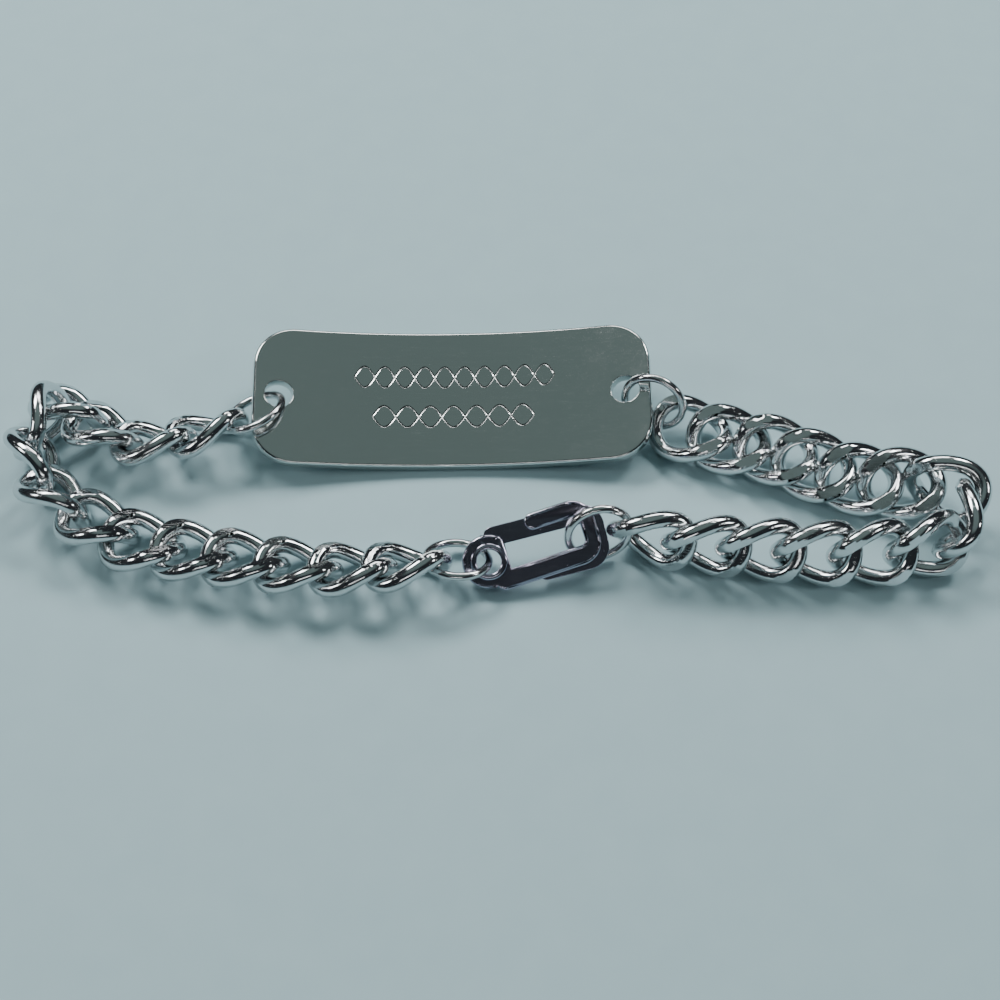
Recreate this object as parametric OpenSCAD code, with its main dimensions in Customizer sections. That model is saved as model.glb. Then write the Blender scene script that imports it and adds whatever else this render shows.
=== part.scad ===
// Medical alert bracelet, closed and laid on a flat surface.
// A curved identity plate, two lengths of curb chain, four jump rings and a sister-hook clasp.
// X runs along the plate, Y across the loop, Z up from the surface.

/* [Identity plate] */
// Length of the plate, straight from end to end
plate_length = 34.8; // [30:0.2:37]
// Width of the plate
plate_width = 12.8; // [11:0.2:15]
// Thickness of the metal
plate_thickness = 1.1; // [0.8:0.1:1.3]
// Radius of the four corners
plate_corner = 3.6; // [2:0.1:5]
// Height of the bent-up ends over the middle
plate_rise = 2; // [1:0.1:3]
// Diameter of the hole at each end
hole_diameter = 2.5; // [2.3:0.1:2.8]
// Distance from the end of the plate to the middle of its hole
hole_inset = 2.2; // [2.1:0.1:2.6]
// Tilt of the plate, with its far edge raised
plate_tilt = 14; // [0:1:20]

/* [Curb chain] */
// Links on each side of the clasp
links_per_side = 14; // [14:1:14]
// Thickness of the link's wire
wire = 1.4; // [1.2:0.05:1.5]
// Length of a link over its ends
link_length = 7.6; // [7.3:0.1:7.8]
// Width of a link over its sides
link_width = 6.3; // [6:0.1:6.6]
// Height of the wire's middle where a twisted link is highest, over the link's middle
link_twist = 0.84; // [0.8:0.02:0.9]

/* [Jump rings] */
// Outer diameter of a jump ring
ring_diameter = 5.9; // [5.8:0.05:6]
// Thickness of its wire
ring_wire = 0.7; // [0.55:0.05:0.75]

/* [Clasp] */
// Length of a hook from the rivet's axis to its end
hook_reach = 9.3; // [8.6:0.1:10]
// How much further the back hook reaches
back_extra = 0.6; // [0:0.1:0.8]
// Width of a hook over its two arms
hook_width = 5.4; // [5:0.1:6]
// Width of the long arm
arm_width = 1.6; // [1.3:0.1:1.8]
// Width of the short tip
tip_width = 1.4; // [1.2:0.1:1.6]
// Width of the bar across the end
bar_width = 1.3; // [1.1:0.1:1.6]
// Distance from the rivet's axis to the blunt tip
tip_start = 3.7; // [3:0.1:4.5]
// Thickness of a hook
hook_thickness = 0.55; // [0.45:0.05:0.6]
// Radius of the eyelet
eyelet_radius = 2.2; // [2:0.1:2.4]
// Angle between the two hooks as they lie
hook_spread = 4; // [0:0.5:5]
// Diameter of the rivet's flanges
rivet_flange = 3.1; // [2.9:0.1:3.3]
// Diameter of the rivet's tube
rivet_tube = 2.4; // [2.3:0.05:2.5]
// Diameter of the hole through the rivet
rivet_bore = 2; // [1.95:0.05:2.1]
// Height of a flange over the hook
flange_height = 0.2; // [0.15:0.05:0.25]

/* [Hidden] */
// Gap between pieces that lie on each other
clearance = 0.05;
steel = "silver";
dark_steel = "slategray";

// Steps round a link and sides of its wire
link_steps = 16;
wire_sides = 6;

// Middle of the whole loop's box, which every piece is moved by
middle = [-0.27, -0.26];

// Where the plate and the rivet's axis lie, and how they are turned
plate_place = [-3.85, 7];
plate_heading = 1;
clasp_place = [-0.6, -9.8];
clasp_heading = 12;
clasp_lean = -8;
clasp_roll = 35;
clasp_lift = 0.2;

// Rings through the plate's holes: turn in the plate's face, angle to that face, droop in their plane
left_ring_turn = 42;
left_ring_tilt = 48;
left_ring_droop = -4;
right_ring_turn = -19;
right_ring_tilt = 62;
right_ring_droop = -12;

// Ring through the rivet: turn in the hooks' faces and angle to them; angle of the ring in the window
rivet_ring_turn = 162;
rivet_ring_tilt = 61;
window_ring_tilt = 41;
// How far from the hook's end the ring passes the window
window_ring_inset = 2.6;

// Where a hook's eyelet is cut off straight and where its long arm begins
eyelet_cut = 1.6;
arm_start = 0.8;
// Radius of a hook's outer corners and of its window's corners
end_corner = 1.9;
window_corner = 0.4;

// Length of the plate and reach of the hooks for which the chains' places below were chosen
route_chosen_for = [34.8, 9.3];

// Degrees between the points at which the height of a turned link is measured
height_step = 5;

// Where a piece lies: link number or 0, x, y, lift over the surface, heading, lean, roll
NUMBER = 0;
X = 1;
Y = 2;
LIFT = 3;
HEADING = 4;
LEAN = 5;
ROLL = 6;

// Chosen places along the left chain, from the clasp's ring to the plate's ring
left_route = [
    [1, -7.3, -10.5, 0, 186, 2, 37],
    [2, -11.7, -10.8, 0, 182, 1, 31],
    [3, -16.2, -10.5, 0, 173, 2, 27],
    [6, -29.2, -8, 0, 165, 1, 14],
    [7, -33.1, -6.2, 0, 155, 0, 24],
    [8, -36.7, -3.9, 0, 138, 0, 48],
    [9, -38.9, -0.6, 0, 112, -1, 75],
    [10, -39.1, 3.6, 0, 72, -1, 97],
    [11, -36.9, 5.3, 0, -27, 0, 134],
    [12, -33.7, 3.1, 0, -25, 4, 144],
    [13, -29.4, 2.1, 0, 7, 1, 144],
    [14, -25, 3.3, 0, 20, -3, 141]
];

// Chosen places along the right chain, from the clasp's ring to the plate's ring
right_route = [
    [1, 12.7, -8.2, 0, -15, 0, 91],
    [2, 17.1, -9, 0, -6, 0, 85],
    [4, 26, -9.7, 0, -3, 1, 75],
    [5, 30.6, -9.7, 0, 3, 1, 72],
    [6, 35.2, -8.9, 0, 15, 8, 73],
    [7, 38.3, -6.7, 0, 68, 6, 94],
    [8, 37.5, -3.4, 0, 146, 10, 113],
    [9, 34, -2.5, 0, 174, 7, 146],
    [10, 30.6, -1.9, 0, 168, 1, 148],
    [11, 26.9, -0.5, 0, 156, 0, 147],
    [12, 23.9, 1.2, 0, 158, 2, 157],
    [13, 20, 2.4, 0, 162, 1, 159],
    [14, 16.8, 3.7, 0, 163, 2, 169]
];

ring_radius = (ring_diameter - ring_wire) / 2;

// Height of the clasp's middle, from the rim of the back hook's eyelet over the surface
clasp_height = clasp_lift + eyelet_radius * norm([sin(clasp_roll) * cos(clasp_lean), sin(clasp_lean)])
    + (hook_thickness + clearance / 2) * cos(clasp_roll) * cos(clasp_lean);

function link_name(side, i) = str(side, "_link_", i < 10 ? "0" : "", i);

// Middle of the wire round a link, as half an ellipse's axes and a twist between its corners
link_a = (link_length - wire) / 2;
link_b = (link_width - wire) / 2;
function link_point(t) = [
    link_a * cos(t),
    link_b * sin(t),
    -link_twist * sin(2 * t)
];

// A route's row at any link number, on a smooth curve through the chosen rows
function row_before(route, i, k = 0) =
    k >= len(route) - 2 || i <= route[k + 1][NUMBER] ? k : row_before(route, i, k + 1);
function row_slope(route, k) =
    let (before = max(k - 1, 0), after = min(k + 1, len(route) - 1))
    (route[after] - route[before]) / (route[after][NUMBER] - route[before][NUMBER]);
function row_at(route, i) =
    let (
        k = row_before(route, i),
        from = route[k],
        to = route[k + 1],
        span = to[NUMBER] - from[NUMBER],
        t = (i - from[NUMBER]) / span
    )
    (1 + 2 * t) * (1 - t) * (1 - t) * from
    + t * (1 - t) * (1 - t) * span * row_slope(route, k)
    + t * t * (3 - 2 * t) * to
    - t * t * (1 - t) * span * row_slope(route, k + 1);

// Height of a turned link's middle when its lowest wire touches the surface
function turned_height(p, row) =
    -p.x * sin(row[LEAN]) + (p.y * sin(row[ROLL]) + p.z * cos(row[ROLL])) * cos(row[LEAN]);
function link_height(row) =
    row[LIFT] + wire / 2
    - min([for (t = [0 : height_step : 360]) turned_height(link_point(t), row)]);

module lay(row, height) {
    translate([row[X] - middle.x, row[Y] - middle.y, height])
        rotate([row[ROLL], row[LEAN], row[HEADING]])
            children();
}

// One twisted link: its wire as rings of points swept round the curve
module link_body() {
    function along(t) = let (d = link_point(t + 1) - link_point(t - 1)) d / norm(d);
    function outward(t) = let (s = cross(along(t), [0, 0, 1])) s / norm(s);
    function ring(t) =
        let (n = outward(t), b = cross(n, along(t)))
        [for (j = [0 : wire_sides - 1])
            link_point(t) + wire / 2 * (
                cos(30 + j * 360 / wire_sides) * n + sin(30 + j * 360 / wire_sides) * b
            )];
    points = [for (s = [0 : link_steps - 1]) each ring(s * 360 / link_steps)];
    function corner(s, j) = (s % link_steps) * wire_sides + j % wire_sides;
    faces = [
        for (s = [0 : link_steps - 1], j = [0 : wire_sides - 1])
            each [
                [corner(s, j), corner(s + 1, j + 1), corner(s + 1, j)],
                [corner(s, j), corner(s, j + 1), corner(s + 1, j + 1)]
            ]
    ];
    polyhedron(points, faces);
}

// Each link's share of what the plate's ends or the hooks' ends move by, so that a chain stays hooked up
function follow(i) = let (t = (i - 1) / (links_per_side - 1)) t * t * (3 - 2 * t);

module chain_link(route, i, side) {
    row = row_at(route, i);
    plate_share = side * (plate_length - route_chosen_for[0]) / 2 * follow(i);
    hook_share = side > 0 ? (hook_reach - route_chosen_for[1]) * (1 - follow(i)) : 0;
    color(steel)
        translate([plate_share + hook_share, 0, 0])
            lay(row, link_height(row))
                link_body();
}

// Bend of the plate, and the angle and height of its middle layer at a hole
bend_radius = (plate_length * plate_length / 4 + plate_rise * plate_rise) / (2 * plate_rise);
middle_radius = bend_radius - plate_thickness / 2;
hole_angle = asin((plate_length / 2 - hole_inset) / bend_radius);
plate_height = plate_width / 2 * sin(plate_tilt);

module place_plate() {
    translate([plate_place.x - middle.x, plate_place.y - middle.y, plate_height])
        rotate([plate_tilt, 0, plate_heading])
            children();
}

// At a hole, x points out of the plate along its face and z out of the hollow face; side is -1 or 1
module at_hole(side) {
    translate([side * middle_radius * sin(hole_angle), 0, bend_radius - middle_radius * cos(hole_angle)])
        rotate([0, -side * hole_angle, 0])
            rotate([0, 0, side < 0 ? 180 : 0])
                children();
}

module plate_outline() {
    square([plate_length - 2 * plate_corner, plate_width], center = true);
    square([plate_length, plate_width - 2 * plate_corner], center = true);
    for (sx = [-1, 1], sy = [-1, 1])
        translate([sx * (plate_length / 2 - plate_corner), sy * (plate_width / 2 - plate_corner)])
            circle(r = plate_corner, $fn = 48);
}

// The bent sheet: what lies between two round walls whose axis runs across the plate
module bent_sheet() {
    translate([0, plate_width, bend_radius])
        rotate([90, 0, 0])
            difference() {
                cylinder(r = bend_radius, h = 2 * plate_width, $fn = 360);
                translate([0, 0, -1])
                    cylinder(r = bend_radius - plate_thickness, h = 2 * plate_width + 2, $fn = 360);
            }
}

module plate() {
    color(steel)
        place_plate()
            difference() {
                intersection() {
                    linear_extrude(plate_rise + 2 * plate_thickness)
                        plate_outline();
                    bent_sheet();
                }
                for (side = [-1, 1])
                    at_hole(side)
                        cylinder(d = hole_diameter, h = 3 * plate_thickness, center = true, $fn = 36);
            }
}

// A jump ring whose wire passes the origin: turn about z, angle to the xy plane, droop in its own plane
module ring_through(turn, tilt, droop) {
    color(steel)
        rotate([0, 0, turn])
            rotate([tilt, 0, 0])
                rotate([0, 0, droop])
                    translate([ring_radius, 0, 0])
                        rotate_extrude($fn = 48)
                            translate([ring_radius, 0])
                                circle(d = ring_wire, $fn = 16);
}

module left_plate_ring() {
    place_plate()
        at_hole(-1)
            ring_through(left_ring_turn, left_ring_tilt, left_ring_droop);
}

module right_plate_ring() {
    place_plate()
        at_hole(1)
            ring_through(right_ring_turn, right_ring_tilt, right_ring_droop);
}

module place_clasp() {
    translate([clasp_place.x - middle.x, clasp_place.y - middle.y, clasp_height])
        rotate([clasp_roll, clasp_lean, clasp_heading])
            children();
}

// The rounded end of a hook, from x = start to its reach
module hook_end(start, reach) {
    translate([start, -hook_width / 2])
        square([reach - end_corner - start, hook_width]);
    translate([start, end_corner - hook_width / 2])
        square([reach - start, hook_width - 2 * end_corner]);
    for (side = [-1, 1])
        translate([reach - end_corner, side * (hook_width / 2 - end_corner)])
            circle(r = end_corner, $fn = 48);
}

// The space in a hook, closed by the long arm, the bar and the short tip
module hook_window(reach) {
    bottom = arm_width - hook_width / 2;
    top = hook_width / 2 - tip_width;
    right = reach - bar_width;
    translate([eyelet_cut, bottom])
        square([right - window_corner - eyelet_cut, top - bottom]);
    translate([eyelet_cut, bottom + window_corner])
        square([right - eyelet_cut, top - bottom - 2 * window_corner]);
    for (y = [bottom + window_corner, top - window_corner])
        translate([right - window_corner, y])
            circle(r = window_corner, $fn = 24);
    // The gap between the eyelet and the tip
    translate([eyelet_cut, bottom])
        square([tip_start - eyelet_cut - 1, hook_width]);
}

// A hook seen from its face: eyelet at the origin, long arm below, bar at the end, blunt tip above
module hook(reach) {
    tip_middle = [tip_start + tip_width / 2, hook_width / 2 - tip_width / 2];
    linear_extrude(hook_thickness)
        difference() {
            union() {
                circle(r = eyelet_radius, $fn = 48);
                translate([arm_start, -hook_width / 2])
                    square([tip_middle.x - arm_start + 1, arm_width]);
                translate([arm_start, (arm_width - hook_width) / 2])
                    circle(d = arm_width, $fn = 24);
                hook_end(tip_middle.x, reach);
                translate(tip_middle)
                    circle(d = tip_width, $fn = 24);
            }
            hook_window(reach);
            circle(d = rivet_tube + 2 * clearance, $fn = 36);
        }
}

module front_hook() {
    color(dark_steel)
        place_clasp()
            translate([0, 0, clearance / 2])
                rotate([0, 0, hook_spread])
                    hook(hook_reach);
}

module back_hook() {
    color(dark_steel)
        place_clasp()
            translate([0, 0, -clearance / 2])
                rotate([180, 0, 0])
                    hook(hook_reach + back_extra);
}

// Tube rivet with a flange on each face of the pair of hooks
module rivet() {
    half_height = hook_thickness + 1.5 * clearance + flange_height;
    color(dark_steel)
        place_clasp()
            difference() {
                union() {
                    cylinder(d = rivet_tube, h = 2 * half_height, center = true, $fn = 36);
                    for (side = [-1, 1])
                        translate([0, 0, side * (half_height - flange_height / 2)])
                            cylinder(d = rivet_flange, h = flange_height, center = true, $fn = 48);
                }
                cylinder(d = rivet_bore, h = 3 * half_height, center = true, $fn = 36);
            }
}

module left_clasp_ring() {
    place_clasp()
        ring_through(rivet_ring_turn, rivet_ring_tilt, 0);
}

module right_clasp_ring() {
    place_clasp()
        translate([hook_reach - window_ring_inset, 0, 0])
            ring_through(0, window_ring_tilt, 0);
}

plate();
left_plate_ring();
right_plate_ring();
left_clasp_ring();
right_clasp_ring();
front_hook();
back_hook();
rivet();
for (i = [1 : links_per_side]) {
    chain_link(left_route, i, -1);
    chain_link(right_route, i, 1);
}
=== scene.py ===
# %% [markdown]
# # A medical alert bracelet
# The real bracelet is polished stainless steel: a bent identity plate, two short lengths of curb
# chain, four jump rings, and a clasp of two hooks that turn on one tube rivet. The construction
# model already has every piece at its place, so this script loads it as a frame and gives each
# piece its true round wire, soft edges and polish. Loading comes first, because every new piece
# is set by measuring the piece that it stands for.

# %% Load the frame
import math

import bmesh
import bpy
import numpy as np
from mathutils import Euler, Matrix, Vector


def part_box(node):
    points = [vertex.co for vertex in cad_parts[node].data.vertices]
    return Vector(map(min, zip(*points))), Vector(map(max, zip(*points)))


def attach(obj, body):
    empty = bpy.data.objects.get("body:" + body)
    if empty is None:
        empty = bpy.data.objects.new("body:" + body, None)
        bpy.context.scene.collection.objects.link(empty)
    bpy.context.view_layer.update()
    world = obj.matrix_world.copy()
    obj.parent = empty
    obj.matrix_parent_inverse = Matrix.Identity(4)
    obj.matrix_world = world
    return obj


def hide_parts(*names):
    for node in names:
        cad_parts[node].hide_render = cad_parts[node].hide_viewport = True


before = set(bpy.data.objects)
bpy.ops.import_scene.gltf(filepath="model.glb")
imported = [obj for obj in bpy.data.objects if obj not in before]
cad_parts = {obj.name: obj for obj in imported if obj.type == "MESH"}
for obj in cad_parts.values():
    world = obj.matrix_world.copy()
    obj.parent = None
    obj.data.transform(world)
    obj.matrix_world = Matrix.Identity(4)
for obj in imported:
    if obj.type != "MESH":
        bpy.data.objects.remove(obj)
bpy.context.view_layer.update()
MM = 0.001

# %% [markdown]
# ## Camera
# The photograph looks down at the loop from the wearer's side, at about 55 degrees. The camera
# could be placed by hand in the viewport. Here it is set by one direction and one distance from
# a point near the middle of the loop, because these are the numbers that were measured.

# %% Set the camera
LOOKS_AT = Vector((0.57, -2.04, 0)) * MM
ELEVATION = math.radians(55)
DISTANCE = 136.8 * MM
LENS = 57.6
SENSOR_WIDTH = 36

bpy.ops.object.camera_add(
    location=LOOKS_AT + DISTANCE * Vector((0, -math.cos(ELEVATION), math.sin(ELEVATION))),
    rotation=(math.pi / 2 - ELEVATION, 0, 0),
)
camera = bpy.context.object
camera.name = "camera"
camera.data.lens = LENS
camera.data.sensor_width = SENSOR_WIDTH
camera.data.clip_start = MM
bpy.context.scene.camera = camera
print("camera at", [round(c / MM, 1) for c in camera.location], "mm")

# %% [markdown]
# ## Shader maths
# A polished metal is mostly maths: thin masks for scratches, soft ones for smudges. Nodes can be
# wired one by one, but the wiring hides the sum. A small class wraps one output socket and turns
# plus, minus, times and the comparisons into Math nodes, so a mask reads like a formula.


# %% Shader maths as Python expressions
class Signal:
    """One output socket of a material, used like a number."""

    def __init__(self, finish, socket):
        self.finish = finish
        self.socket = socket

    def maths(self, operation, *numbers):
        numbers = numbers or (self,)
        return self.finish.node("ShaderNodeMath", {"operation": operation}, dict(enumerate(numbers)))

    def __add__(self, other):
        return self.maths("ADD", self, other)

    def __sub__(self, other):
        return self.maths("SUBTRACT", self, other)

    def __rsub__(self, other):
        return self.maths("SUBTRACT", other, self)

    def __mul__(self, other):
        return self.maths("MULTIPLY", self, other)

    def __truediv__(self, other):
        return self.maths("DIVIDE", self, other)

    def __lt__(self, other):
        return self.maths("LESS_THAN", self, other)

    def __abs__(self):
        return self.maths("ABSOLUTE")

    __radd__ = __add__
    __rmul__ = __mul__

    def fade(self, low, high):
        """0 below low, 1 above high, smooth between."""
        ends = {"Value": self, "From Min": low, "From Max": high, "To Min": 0.0, "To Max": 1.0}
        return self.finish.node("ShaderNodeMapRange", {"interpolation_type": "SMOOTHSTEP"}, ends)


class Finish:
    """One material, or the world, with a single method that adds any node."""

    def __init__(self, owner, shader="Principled BSDF"):
        owner.use_nodes = True
        self.owner = owner
        self.tree = owner.node_tree
        self.shader = self.tree.nodes[shader]

    def node(self, kind, settings=None, sockets=None, output=0):
        made = self.tree.nodes.new(kind)
        for name, value in (settings or {}).items():
            setattr(made, name, value)
        for name, value in (sockets or {}).items():
            self.plug(made.inputs[name], value)
        return Signal(self, made.outputs[output])

    def plug(self, socket, value):
        if isinstance(value, Signal):
            self.tree.links.new(value.socket, socket)
        else:
            socket.default_value = value

    def feed(self, **values):
        for name, value in values.items():
            self.plug(self.shader.inputs[name.replace("_", " ")], value)


print("shader maths ready")

# %% [markdown]
# ## Polished steel
# Worn polished steel is never one even mirror. It has faint fingerprints that dull the gloss,
# long hairline scratches from sleeves and table tops, and a very fine grain from the polishing
# wheel. A photograph of steel could be wrapped round the pieces, but it would stretch
# on thin wire. Noise in object space needs no wrapping, so one recipe suits plate and wire.


# %% Hairline scratches, and a mix of two colours
SCRATCH_STRETCH = 40


def hairlines(finish, place, turn, spacing, fineness):
    """Thin broken lines along one direction, as a mask of 0 to 1."""
    across = 1 / spacing
    lying = finish.node(
        "ShaderNodeMapping",
        {},
        {"Vector": place, "Rotation": turn, "Scale": (across / SCRATCH_STRETCH, across, across)},
    )
    streaks = finish.node(
        "ShaderNodeTexNoise", {}, {"Vector": lying, "Scale": 1.0, "Detail": 2.0, "Roughness": 0.6}
    )
    return 1 - abs(streaks - 0.5).fade(0.0, fineness)


def mix_colours(finish, share, one, other):
    """The first colour where the share is 0, the other where it is 1."""
    made = finish.tree.nodes.new("ShaderNodeMix")
    made.data_type = "RGBA"
    finish.plug(made.inputs[0], share)
    finish.plug(made.inputs[6], one if isinstance(one, Signal) else (*one, 1.0))
    finish.plug(made.inputs[7], other if isinstance(other, Signal) else (*other, 1.0))
    return Signal(finish, made.outputs[2])


print("scratches are", SCRATCH_STRETCH, "times longer than they lie apart")

# %% [markdown]
# The recipe adds the masks up. Smudges and specks dull the colour and the gloss. Grain, hairlines
# and specks also make a height, which the Bump node turns into tiny tilts of the surface. One
# recipe with a few settings keeps all the steels alike, as they are on one real bracelet.

# %% Recipe for worn, polished steel
SMUDGE_SIZE = 4 * MM
SPECKS_PER_MM = 6
GRAINS_PER_MM = 14
RELIEF_HEIGHT = 0.02 * MM
# The dark tone that cut strokes turn to: painted shade in the grooves, with some grime.
GROOVE_SHADE_AND_GRIME = (0.16, 0.17, 0.17)


def polished_steel(name, colour, dull, gloss, smudged, scratch=0.05, marks=None):
    """A worn polish. The first colour and gloss are clean steel, the others are fingerprints."""
    finish = Finish(bpy.data.materials.new(name))
    place = finish.node("ShaderNodeTexCoord", output="Object")
    smudges = finish.node(
        "ShaderNodeTexNoise",
        {},
        {"Vector": place, "Scale": 1 / SMUDGE_SIZE, "Detail": 5.0, "Roughness": 0.62},
    ).fade(0.42, 0.68)
    specks = finish.node(
        "ShaderNodeTexNoise", {}, {"Vector": place, "Scale": SPECKS_PER_MM / MM, "Detail": 3.0}
    ).fade(0.66, 0.78)
    lines = (
        hairlines(finish, place, (0.0, 0.0, 0.3), 0.5 * MM, 0.006)
        + hairlines(finish, place, (0.2, 0.4, 1.9), 0.7 * MM, 0.005)
        + hairlines(finish, place, (0.5, 0.1, -0.7), 0.6 * MM, 0.004)
    )
    cut = marks(finish, place) if marks else 0.0
    grain = finish.node(
        "ShaderNodeTexNoise", {}, {"Vector": place, "Scale": GRAINS_PER_MM / MM, "Detail": 2.0}
    )
    relief = grain * 0.02 - lines * scratch - specks * 0.04
    bump = finish.node(
        "ShaderNodeBump",
        {},
        {"Height": relief, "Distance": RELIEF_HEIGHT, "Strength": 1.0},
        output="Normal",
    )
    finish.shader.inputs["Metallic"].default_value = 1.0
    worn = mix_colours(finish, smudges * 0.6 + specks * 0.3, colour, dull)
    finish.feed(
        # Where cut strokes lie, the colour turns dark: painted shade in the grooves, with some
        # grime.
        Base_Color=mix_colours(finish, cut * 0.7, worn, GROOVE_SHADE_AND_GRIME),
        Roughness=smudges * (smudged - gloss) + lines * 0.05 + specks * 0.1 + cut * 0.1 + gloss,
        Normal=bump,
    )
    return finish


chain_steel = polished_steel(
    "polished_chain_steel", (0.66, 0.68, 0.69), (0.52, 0.54, 0.54), 0.09, 0.18
)
ring_steel = polished_steel(
    "drawn_ring_steel", (0.64, 0.65, 0.66), (0.47, 0.48, 0.48), 0.13, 0.24
)
clasp_steel = polished_steel(
    "dark_clasp_steel", (0.46, 0.45, 0.54), (0.38, 0.36, 0.46), 0.14, 0.20, scratch=0.02
)
print("three steels made")

# %% [markdown]
# ## Tools of the bench
# Modelling by operators acts on whatever is selected, and the frame arrives with its nodes
# selected. So a few small helpers come first. One leaves a single piece selected, one opens it in
# edit mode, and one picks its corners, edges or faces by a rule about their place. The last one
# hands a finished piece over: it gives the piece its steel, hangs it under the root, and hides the
# node that it stands for.


# %% Select one piece, and pick parts of it by a rule
def only(piece):
    """Leaves one piece selected and active."""
    bpy.ops.object.select_all(action="DESELECT")
    piece.select_set(True)
    bpy.context.view_layer.objects.active = piece


def opened(piece):
    """Opens a piece in edit mode with all of it selected."""
    only(piece)
    bpy.ops.object.mode_set(mode="EDIT")
    bpy.ops.mesh.select_all(action="SELECT")


def pick(kind, rule):
    """Selects the parts (VERT, EDGE or FACE) of the mesh in edit mode that the rule accepts."""
    bpy.ops.mesh.select_mode(type=kind)
    bpy.ops.mesh.select_all(action="DESELECT")
    mesh = bmesh.from_edit_mesh(bpy.context.object.data)
    mesh.normal_update()
    parts = {"VERT": mesh.verts, "EDGE": mesh.edges, "FACE": mesh.faces}[kind]
    chosen = [part for part in parts if rule(part)]
    for part in chosen:
        part.select_set(True)
    bmesh.update_edit_mesh(bpy.context.object.data)
    return len(chosen)


def started(name):
    """Names the primitive just added, and opens it in edit mode."""
    piece = bpy.context.object
    piece.name = piece.data.name = name
    opened(piece)
    return piece


def applied(piece, kind, **settings):
    """Adds a modifier with its settings and applies it."""
    only(piece)
    bpy.ops.object.modifier_add(type=kind)
    modifier = piece.modifiers[-1]
    for name, value in settings.items():
        setattr(modifier, name, value)
    bpy.ops.object.modifier_apply(modifier=modifier.name)


def finished(piece, finish, slot, *nodes):
    piece.data.materials.clear()
    piece.data.materials.append(finish.owner)
    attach(piece, "root")
    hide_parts(*nodes)


print("bench ready")

# %% [markdown]
# ## Where a piece lies
# Links, rings and the clasp lie at odd angles in the loop. Copying those angles by hand would be
# slow. A link is alike under half turns about its own three axes, so the middle of its corners
# is its centre, and the directions in which its corners spread most and least are its own axes.


# %% Measure a node's middle and own axes
def own_axes(node):
    """A matrix from the node's own frame, longest way first, to its place in the loop."""
    corners = {tuple(round(c / MM, 4) for c in v.co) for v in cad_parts[node].data.vertices}
    corners = np.array(sorted(corners)) * MM
    middle = corners.mean(axis=0)
    _, axes = np.linalg.eigh(np.cov((corners - middle).T))
    axes = axes[:, ::-1]  # from most spread to least
    if np.linalg.det(axes) < 0:
        axes[:, 2] *= -1
    rows = [[*row, m] for row, m in zip(axes.tolist(), middle.tolist())]
    return Matrix(rows + [[0, 0, 0, 1]])


def set_down(model, name, place):
    """A copy of a model with its own mesh, laid at a place with that place in its mesh."""
    only(model)
    bpy.ops.object.duplicate(linked=False)
    piece = bpy.context.object
    piece.name = piece.data.name = name
    piece.matrix_world = place
    bpy.ops.object.transform_apply(location=True, rotation=True, scale=True)
    return piece


print("first link lies at", [round(c / MM, 2) for c in own_axes("left_link_01").translation], "mm")

# %% [markdown]
# ## Curb links
# A curb link is an oval ring of round wire, twisted between its ends so that the chain lies
# flat. A torus squeezed to an oval would have wire of uneven thickness. A circle of corners
# scaled to the oval, with its quarters raised and lowered in steps, becomes a curve, and the
# curve's round bevel gives wire of one thickness all the way round.

# %% Bend one link from round wire
WIRE = 1.4 * MM
LINK_LENGTH = 7.6 * MM
LINK_WIDTH = 6.3 * MM
LINK_TWIST = 0.84 * MM
LINK_CORNERS = 48
QUARTER_STEPS = LINK_CORNERS // 8

half_length = (LINK_LENGTH - WIRE) / 2
half_width = (LINK_WIDTH - WIRE) / 2
bpy.ops.mesh.primitive_circle_add(vertices=LINK_CORNERS, radius=1)
link = started("curb_link")
bpy.ops.transform.resize(value=(half_length, half_width, 1), center_override=(0, 0, 0))


def doubled_angle(corner):
    """Twice the angle at which a corner stands on the oval."""
    return 2 * math.atan2(corner.co.y / half_width, corner.co.x / half_length)


for step in range(1, QUARTER_STEPS + 1):
    share = math.sin(step / QUARTER_STEPS * math.pi / 2)
    for side in (-1, 1):
        pick("VERT", lambda v: abs(math.sin(doubled_angle(v)) - side * share) < 0.02)
        bpy.ops.transform.translate(value=(0, 0, -side * share * LINK_TWIST))
bpy.ops.object.mode_set(mode="OBJECT")
bpy.ops.object.convert(target="CURVE")
link = bpy.context.object
link.data.bevel_depth = WIRE / 2
link.data.bevel_resolution = 10
bpy.ops.object.convert(target="MESH")
link = bpy.context.object
print("link before the file:", [round(d / MM, 2) for d in link.dimensions], "mm")

# %% [markdown]
# A finished curb chain is drawn over a file, which leaves a small flat on each quarter that
# stands out. Pressing the corners flat would bulge the wire. Two bisects that fill their cut take
# the metal away as the file does, and the flats catch the light as even grey patches.

# %% File its flats
FILED = 0.2 * MM
LINK_SMOOTH_ANGLE = math.radians(25)

opened(link)
for side in (-1, 1):
    bpy.ops.mesh.select_all(action="SELECT")
    bpy.ops.mesh.bisect(
        plane_co=(0, 0, side * (LINK_TWIST + WIRE / 2 - FILED)),
        plane_no=(0, 0, side),
        use_fill=True,
        clear_outer=True,
    )
bpy.ops.object.mode_set(mode="OBJECT")
bpy.ops.object.shade_smooth_by_angle(angle=LINK_SMOOTH_ANGLE)
applied(link, "WEIGHTED_NORMAL", keep_sharp=True, weight=80)
spots = np.array([v.co for v in link.data.vertices])
print("link:", (np.ptp(spots, axis=0) / MM).round(2), "mm,", len(link.data.polygons), "faces")

# %% [markdown]
# The two chains hold links that differ only in their places. Copies that share one mesh would
# save memory, but a finished piece keeps its place in its mesh, so every link gets a mesh of its
# own and is laid by the axes that were measured on its node.

# %% Lay the links of both chains
LINKS_PER_SIDE = 14

for side in ("left", "right"):
    for number in range(1, LINKS_PER_SIDE + 1):
        node = f"{side}_link_{number:02d}"
        piece = set_down(link, f"{side}_curb_link_{number:02d}", own_axes(node))
        finished(piece, chain_steel, "chain_steel", node)
bpy.data.objects.remove(link)
print(2 * LINKS_PER_SIDE, "links laid")

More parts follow.
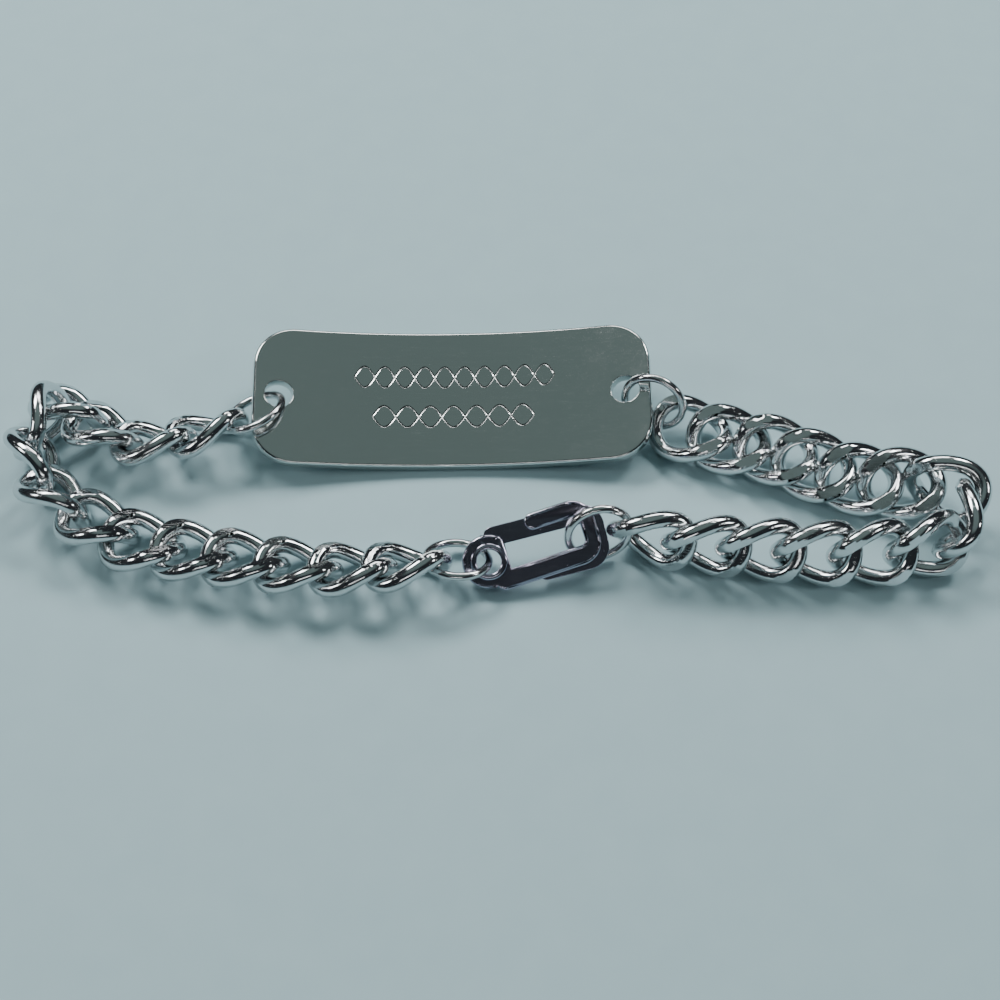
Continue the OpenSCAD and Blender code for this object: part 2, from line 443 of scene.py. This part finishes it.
# %% [markdown]
# ## Jump rings
# A jump ring is cut from a coil of drawn wire and pressed shut, so a hairline butt joint stays
# in it. A torus is the ring itself. The joint is one ring of its corners, drawn in a little
# towards the middle of the wire.

# %% Model one jump ring and lay four
RING_WIRE = 0.7 * MM
RING_DIAMETER = 5.9 * MM
JOINT_DEPTH = 0.14

ring_radius = (RING_DIAMETER - RING_WIRE) / 2
bpy.ops.mesh.primitive_torus_add(
    major_radius=ring_radius, minor_radius=RING_WIRE / 2, major_segments=96, minor_segments=20
)
ring = started("jump_ring")
pick("VERT", lambda v: v.co.x > 0 and abs(v.co.y) < 0.005 * MM)
bpy.ops.transform.resize(
    value=(1 - JOINT_DEPTH * RING_WIRE / RING_DIAMETER, 1, 1 - JOINT_DEPTH),
    center_override=(ring_radius, 0, 0),
)
bpy.ops.object.mode_set(mode="OBJECT")
bpy.ops.object.shade_smooth()
for node in ("left_plate_ring", "right_plate_ring", "left_clasp_ring", "right_clasp_ring"):
    piece = set_down(ring, node.replace("ring", "jump_ring"), own_axes(node))
    finished(piece, ring_steel, "ring_steel", node)
bpy.data.objects.remove(ring)
print("4 jump rings laid")

# %% [markdown]
# ## Identity plate
# The plate is a blank stamped from sheet, with rounded corners and two punched holes, tumbled so
# that its rims are soft, marked, and then bent a little to follow the wrist. It is made in the
# same order, because a flat blank is far easier to measure and to cut than a bent one: a slab
# with bevelled corners comes first, and two cylinders punch its holes.

# %% Stamp the flat blank
PLATE_LENGTH = 34.8 * MM
PLATE_WIDTH = 12.8 * MM
PLATE_THICKNESS = 1.1 * MM
PLATE_CORNER = 3.6 * MM
PLATE_RISE = 2 * MM
HOLE_DIAMETER = 2.5 * MM
HOLE_INSET = 2.2 * MM

bend_radius = (PLATE_LENGTH**2 / 4 + PLATE_RISE**2) / (2 * PLATE_RISE)
middle_radius = bend_radius - PLATE_THICKNESS / 2
bend_angle = 2 * math.asin(PLATE_LENGTH / 2 / bend_radius)
hole_place = middle_radius * math.asin((PLATE_LENGTH / 2 - HOLE_INSET) / bend_radius)

bpy.ops.mesh.primitive_cube_add(size=1)
plate = started("identity_plate")
bpy.ops.transform.resize(value=(middle_radius * bend_angle, PLATE_THICKNESS, PLATE_WIDTH))
pick("EDGE", lambda e: abs(e.verts[0].co.y - e.verts[1].co.y) > 0.5 * PLATE_THICKNESS)
bpy.ops.mesh.bevel(offset=PLATE_CORNER, segments=16, affect="EDGES")
bpy.ops.object.mode_set(mode="OBJECT")
for side in (-1, 1):
    bpy.ops.mesh.primitive_cylinder_add(
        vertices=64,
        radius=HOLE_DIAMETER / 2,
        depth=3 * PLATE_THICKNESS,
        location=(side * hole_place, 0, 0),
        rotation=(math.pi / 2, 0, 0),
    )
    punch = bpy.context.object
    applied(plate, "BOOLEAN", object=punch, operation="DIFFERENCE", solver="EXACT")
    bpy.data.objects.remove(punch)
print("plate blank:", [round(d / MM, 2) for d in plate.dimensions], "mm")

# %% [markdown]
# The rims of the real plate are well rounded outside, and only broken a little in the holes. A
# bevel modifier would give all of them one width, so each kind is picked by its distance from a
# hole and bevelled by itself.

# %% Soften its rims
OUTER_SOFTNESS = 0.28 * MM
HOLE_SOFTNESS = 0.07 * MM
HOLE_REACH = HOLE_DIAMETER * 0.6
DOUBLES = 0.001 * MM


def is_rim(edge):
    """An edge between one of the plate's faces and a wall."""
    facing = sorted(abs(face.normal.y) for face in edge.link_faces)
    return len(facing) == 2 and facing[0] < 0.2 and facing[1] > 0.9


def from_hole(edge):
    """How far the middle of an edge is from the nearer hole's axis."""
    middle = (edge.verts[0].co + edge.verts[1].co) / 2
    return math.hypot(abs(middle.x) - hole_place, middle.z)


opened(plate)
bpy.ops.mesh.remove_doubles(threshold=DOUBLES)
outer_rims = pick("EDGE", lambda e: is_rim(e) and from_hole(e) > HOLE_REACH)
bpy.ops.mesh.bevel(offset=OUTER_SOFTNESS, segments=5, affect="EDGES", clamp_overlap=False)
hole_rims = pick("EDGE", lambda e: is_rim(e) and from_hole(e) < HOLE_REACH)
bpy.ops.mesh.bevel(offset=HOLE_SOFTNESS, segments=3, affect="EDGES", clamp_overlap=False)
bpy.ops.object.mode_set(mode="OBJECT")
print(outer_rims, "edges of the outline and", hole_rims, "of the holes rounded")

# %% [markdown]
# Such a plate carries two rows of fine cut strokes. Here they are a plain ornament: two strands
# that cross and cross again, like a twisted cord. The strokes could be painted on as bump alone,
# but then the mesh itself would be bare. So each strand is one corner, extruded step by step
# along a sine, that becomes a thin round tube. A quarter of the tube dips into the still flat
# blank and is taken away from it, which leaves the groove of a round-nosed graver.

# %% Cut the strokes of both rows
GRAVER_RADIUS = 0.1 * MM
STROKE_DEPTH = 0.055 * MM
STEPS_PER_EYE = 12
TWISTED_ROWS = (  # middle line and start in mm from the plate's middle, eyes, an eye's length
    (2.0, -8.6, 10, 1.76),
    (-1.75, -7.0, 7, 2.02),
)


def drawn_graver(middle, start, eyes, eye_length, side):
    """A closed tube along one strand of a row, ready to be taken away."""
    bpy.ops.mesh.primitive_plane_add(size=MM)
    started("graver")
    bpy.ops.mesh.select_mode(type="VERT")
    bpy.ops.mesh.select_all(action="SELECT")
    bpy.ops.mesh.merge(type="CENTER")
    at = Vector((0, 0, 0))
    height = PLATE_THICKNESS / 2 + GRAVER_RADIUS - STROKE_DEPTH
    for step in range(eyes * STEPS_PER_EYE + 1):
        along = start + eye_length * step / STEPS_PER_EYE
        across = middle + side * math.sin(math.pi * step / STEPS_PER_EYE)
        goal = Vector((along * MM, height, -across * MM))
        if step == 0:
            bpy.ops.transform.translate(value=goal)
        else:
            bpy.ops.mesh.extrude_region_move(TRANSFORM_OT_translate={"value": goal - at})
        at = goal
    bpy.ops.object.mode_set(mode="OBJECT")
    bpy.ops.object.convert(target="CURVE")
    path = bpy.context.object.data
    path.bevel_depth = GRAVER_RADIUS
    path.bevel_resolution = 2
    path.use_fill_caps = True
    bpy.ops.object.convert(target="MESH")
    graver = bpy.context.object
    opened(graver)
    bpy.ops.mesh.remove_doubles(threshold=DOUBLES)
    bpy.ops.mesh.normals_make_consistent(inside=False)
    bpy.ops.object.mode_set(mode="OBJECT")
    return graver


for row in TWISTED_ROWS:
    for side in (-1, 1):
        graver = drawn_graver(*row, side)
        applied(plate, "BOOLEAN", object=graver, operation="DIFFERENCE", solver="EXACT")
        bpy.data.objects.remove(graver)
print("plate with its strokes:", len(plate.data.polygons), "faces")

# %% [markdown]
# The finished blank is bent over its length. A bend needs corners to turn at, so bisects first
# cut the blank into narrow strips, and the Simple Deform modifier then curls them by one angle.

# %% Bend it over its length
BEND_STEPS = 40

opened(plate)
for step in range(1, BEND_STEPS):
    bpy.ops.mesh.select_all(action="SELECT")
    bpy.ops.mesh.bisect(
        plane_co=((step / BEND_STEPS - 0.5) * middle_radius * bend_angle, 0, 0), plane_no=(1, 0, 0)
    )
bpy.ops.object.mode_set(mode="OBJECT")
applied(plate, "SIMPLE_DEFORM", deform_method="BEND", deform_axis="Z", angle=bend_angle)
print("bent plate:", [round(d / MM, 2) for d in plate.dimensions], "mm")

# %% [markdown]
# In the loop the plate rests on its near edge, with its far edge raised a little. It was modelled
# standing upright, because the modifier bends about an upright axis, so it is laid down first.

# %% Lay the plate in the loop
PLATE_TURN = Euler((math.radians(14), 0, math.radians(1)))
PLATE_MIDDLE = Vector((-3.58 * MM, 7.26 * MM, PLATE_WIDTH / 2 * math.sin(PLATE_TURN.x)))
PLATE_SMOOTH_ANGLE = math.radians(32)

laid = Matrix.Translation(PLATE_MIDDLE) @ PLATE_TURN.to_matrix().to_4x4()
laid = laid @ Matrix.Translation((0, 0, PLATE_THICKNESS / 2))
plate.matrix_world = laid @ Matrix.Rotation(math.pi / 2, 4, "X")
only(plate)
bpy.ops.object.transform_apply()
bpy.ops.object.shade_smooth_by_angle(angle=PLATE_SMOOTH_ANGLE)
applied(plate, "WEIGHTED_NORMAL", keep_sharp=True, weight=80)
spots = np.array([v.co for v in plate.data.vertices])
lowest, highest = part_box("plate")
print("plate past its node in mm:", ((spots.min(axis=0) - lowest) / MM).round(2), "and",
      ((spots.max(axis=0) - highest) / MM).round(2))

# %% [markdown]
# Cut strokes hold a little dirt and polish, and they lie in shade. A mask from the same numbers
# darkens them with painted shade in the grooves and some grime. One sine, folded up by its absolute
# value, gives both strands at once.


# %% Plate steel, darker in its strokes
GROOVE_SHADE_AND_GRIME_FADE = (0.05, 0.15)  # mm from the middle of a stroke, full and gone


def twisted_rows(finish, place):
    """The strokes of both rows, as a mask."""
    own = finish.node(
        "ShaderNodeMapping",
        {"vector_type": "TEXTURE"},
        {"Vector": place, "Location": laid.translation, "Rotation": PLATE_TURN},
    )
    along = finish.node("ShaderNodeSeparateXYZ", {}, {"Vector": own}, output="X") / MM
    across = finish.node("ShaderNodeSeparateXYZ", {}, {"Vector": own}, output="Y") / MM
    strokes = 0.0
    for middle, start, eyes, eye_length in TWISTED_ROWS:
        half_row = eyes * eye_length / 2
        wave = abs(((along - start) * (math.pi / eye_length)).maths("SINE"))
        line = 1 - abs(abs(across - middle) - wave).fade(*GROOVE_SHADE_AND_GRIME_FADE)
        strokes = line * (abs(along - start - half_row) < half_row) + strokes
    return strokes


plate_steel = polished_steel(
    "plate_steel",
    (0.61, 0.64, 0.63),
    (0.57, 0.60, 0.59),
    0.11,
    0.14,
    scratch=0.02,
    marks=twisted_rows,
)
finished(plate, plate_steel, "plate_steel", "plate")
print("plate finished with", len(TWISTED_ROWS), "rows")

# %% [markdown]
# ## Hooks and rivet
# The clasp is two flat hooks that mirror each other and turn on one tube rivet. Faces and walls
# are easiest to tell apart where the hooks lie level, so their place in the loop is needed first:
# each is turned level, worked on, and turned back.


# %% Find the clasp's place, and tell its rims from its faces
CLASP_TURN = Euler((math.radians(35), math.radians(-8), math.radians(12)))
FACING = 0.8  # least part of a flat face's normal along the clasp's axis
SLOPED = 0.6  # least part of a sloped face's normal
UPRIGHT = 0.3  # greatest part of a wall's normal

clasp_middle = own_axes("rivet").translation
clasp_place = Matrix.Translation(clasp_middle) @ CLASP_TURN.to_matrix().to_4x4()


def hook_rim(edge, side):
    """An edge between a wall and the hook's face on one side, sloped or flat."""
    tilts = sorted(face.normal.z * side for face in edge.link_faces)
    return len(tilts) == 2 and tilts[1] > SLOPED and abs(tilts[0]) < UPRIGHT


def above_wall(corner, side):
    """A corner of the face on one side that stands right over a wall of the hook."""
    tilts = [face.normal.z * side for face in corner.link_faces]
    return max(tilts) > FACING and min(abs(tilt) for tilt in tilts) < UPRIGHT


print("clasp turns about", [round(c / MM, 2) for c in clasp_middle], "mm")

# %% [markdown]
# Each hook is stamped from sheet half a millimetre thick and barrelled, so that its outer face
# falls away to its rims. Its outline is already exact in the construction model, so a merged copy
# of that solid is the blank. The outer face is inset, the rim left around it is pushed down for
# the barrelled slope, and bevels soften all rims. A plain wide bevel would cut as deep into the
# thin walls as it cuts into the face.

# %% Barrel and round the two hooks
BARREL_STEPS = ((0.13, 0.03), (0.13, 0.07), (0.14, 0.12))  # mm inwards, mm down
OUTER_RIM = 0.08 * MM
INNER_RIM = 0.06 * MM
HOOK_DOUBLES = 0.01 * MM

for node, outer in (("front_hook", 1), ("back_hook", -1)):
    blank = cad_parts[node].data.copy()
    hook = bpy.data.objects.new(node.replace("hook", "sister_hook"), blank)
    bpy.context.collection.objects.link(hook)
    hook.data.transform(clasp_place.inverted())
    opened(hook)
    bpy.ops.mesh.remove_doubles(threshold=HOOK_DOUBLES)
    bpy.ops.mesh.dissolve_limited(angle_limit=math.radians(1))
    for width, fall in BARREL_STEPS:
        pick("FACE", lambda f: f.normal.z * outer > FACING)
        bpy.ops.mesh.inset(thickness=width * MM, use_even_offset=True)
        pick("VERT", lambda v: above_wall(v, outer))
        bpy.ops.transform.translate(value=(0, 0, -outer * fall * MM))
    wide = pick("EDGE", lambda e: hook_rim(e, outer))
    bpy.ops.mesh.bevel(offset=OUTER_RIM, segments=3, affect="EDGES", clamp_overlap=False)
    narrow = pick("EDGE", lambda e: hook_rim(e, -outer))
    bpy.ops.mesh.bevel(offset=INNER_RIM, segments=2, affect="EDGES", clamp_overlap=False)
    bpy.ops.object.mode_set(mode="OBJECT")
    hook.data.transform(clasp_place)
    bpy.ops.object.shade_smooth()
    applied(hook, "WEIGHTED_NORMAL", keep_sharp=True)
    finished(hook, clasp_steel, "clasp_steel", node)
    print(hook.name, wide, "outer and", narrow, "inner rim edges")

# %% [markdown]
# The rivet is a short tube whose two ends are rolled over the hooks. It is turned like a pot on
# a wheel: a ring of corners is extruded, moved and widened step by step along the tube's
# profile, up through the bore, over one rolled lip, down the outside and round the other lip.

# %% Roll the rivet
BORE_RADIUS = 1.0 * MM
TUBE_RADIUS = 1.2 * MM
FLANGE_RADIUS = 1.53 * MM
HALF_LENGTH = 0.825 * MM
UNDER_FLANGE = 0.63 * MM

half_profile = [
    (BORE_RADIUS, 0.7 * MM),
    (1.04 * MM, 0.775 * MM),
    (1.14 * MM, HALF_LENGTH),
    (1.28 * MM, 0.815 * MM),
    (1.44 * MM, 0.75 * MM),
    (FLANGE_RADIUS, 0.68 * MM),
    (1.5 * MM, UNDER_FLANGE),
    (TUBE_RADIUS, UNDER_FLANGE),
]
profile = half_profile + [(radius, -height) for radius, height in reversed(half_profile)]
at_radius, at_height = profile[-1]
bpy.ops.mesh.primitive_circle_add(vertices=64, radius=at_radius, location=(0, 0, 0))
rivet = started("tube_rivet")
bpy.ops.transform.translate(value=(0, 0, at_height))
for radius, height in profile:
    rise = (0, 0, height - at_height)
    growth = radius / at_radius
    bpy.ops.mesh.extrude_region_move(TRANSFORM_OT_translate={"value": rise})
    bpy.ops.transform.resize(value=(growth, growth, 1), center_override=(0, 0, height))
    at_radius, at_height = radius, height
bpy.ops.mesh.select_all(action="SELECT")
bpy.ops.mesh.remove_doubles(threshold=DOUBLES)
bpy.ops.mesh.normals_make_consistent(inside=False)
bpy.ops.object.mode_set(mode="OBJECT")
rivet.data.transform(clasp_place)
bpy.ops.object.shade_smooth()
finished(rivet, clasp_steel, "clasp_steel", "rivet")
print("rivet:", [round(d / MM, 2) for d in rivet.dimensions], "mm")

# %% [markdown]
# ## Table
# The bracelet lies on a pale blue-green surface, which its steel mirrors from below. A single
# flat colour would look like plastic, so a soft noise mixes two close tones. The floor is large,
# so that in a low view it ends far off, in the dark.

# %% Spread the floor
FLOOR_SIZE = 6
MOTTLES_PER_MM = 0.3

bpy.ops.mesh.primitive_plane_add(size=FLOOR_SIZE, location=(0, 0, 0))
floor = bpy.context.object
floor.name = "floor"
floor_finish = Finish(bpy.data.materials.new("pale_floor"))
floor_place = floor_finish.node("ShaderNodeTexCoord", output="Object")
mottle = floor_finish.node(
    "ShaderNodeTexNoise", {}, {"Vector": floor_place, "Scale": MOTTLES_PER_MM / MM, "Detail": 4.0}
)
floor_finish.feed(
    Base_Color=mix_colours(floor_finish, mottle, (0.42, 0.61, 0.66), (0.46, 0.66, 0.70)),
    Roughness=0.85,
)
floor.data.materials.append(floor_finish.owner)
print("floor of", FLOOR_SIZE, "m")

# %% [markdown]
# ## Light
# The room is dim, so most of the steel mirrors grey darkness and only the highlights are white.
# Even studio light would turn the wire flat and grey. A dark world with a few soft lamps keeps
# the contrast. The largest lamp stands behind the loop, because the shadows fall forward.

# %% Hang the lamps
LAMPS = (  # name, place, width, height, power
    ("back_left_lamp", (-0.26, 0.27, 0.42), 0.22, 0.14, 1.9),
    ("back_right_lamp", (0.27, 0.25, 0.40), 0.14, 0.10, 1.0),
    ("back_lamp", (0.04, 0.38, 0.36), 0.24, 0.12, 0.7),
    ("left_lamp", (-0.42, -0.04, 0.26), 0.08, 0.06, 0.3),
    ("right_lamp", (0.42, -0.10, 0.26), 0.06, 0.06, 0.2),
    ("front_lamp", (0.0, -0.44, 0.24), 0.30, 0.03, 0.15),
)

for name, place, width, height, power in LAMPS:
    bpy.ops.object.light_add(type="AREA", location=place)
    lamp = bpy.context.object
    lamp.name = name
    lamp.data.shape = "RECTANGLE"
    lamp.data.size = width
    lamp.data.size_y = height
    lamp.data.energy = power
    lamp.rotation_euler = (-Vector(place)).to_track_quat("-Z", "Y").to_euler()
print(len(LAMPS), "lamps hung")

# %% [markdown]
# The plate mirrors what is right above it, and in the photograph the plate is an even grey-green.
# A lamp there would burn a white patch into it, so the world's own colour fades from near black
# at the sides to that tone overhead.

# %% Surround it with a dim room
SIDE_TONE = (0.022, 0.026, 0.03)
OVERHEAD_TONE = (0.15, 0.20, 0.195)

world = bpy.data.worlds.new("dim_room")
bpy.context.scene.world = world
room = Finish(world, "Background")
direction = room.node("ShaderNodeTexCoord", output="Generated")
height = room.node("ShaderNodeSeparateXYZ", {}, {"Vector": direction}, output="Z")
room.feed(Color=mix_colours(room, height.fade(0.76, 0.92), SIDE_TONE, OVERHEAD_TONE))
print("stage set")
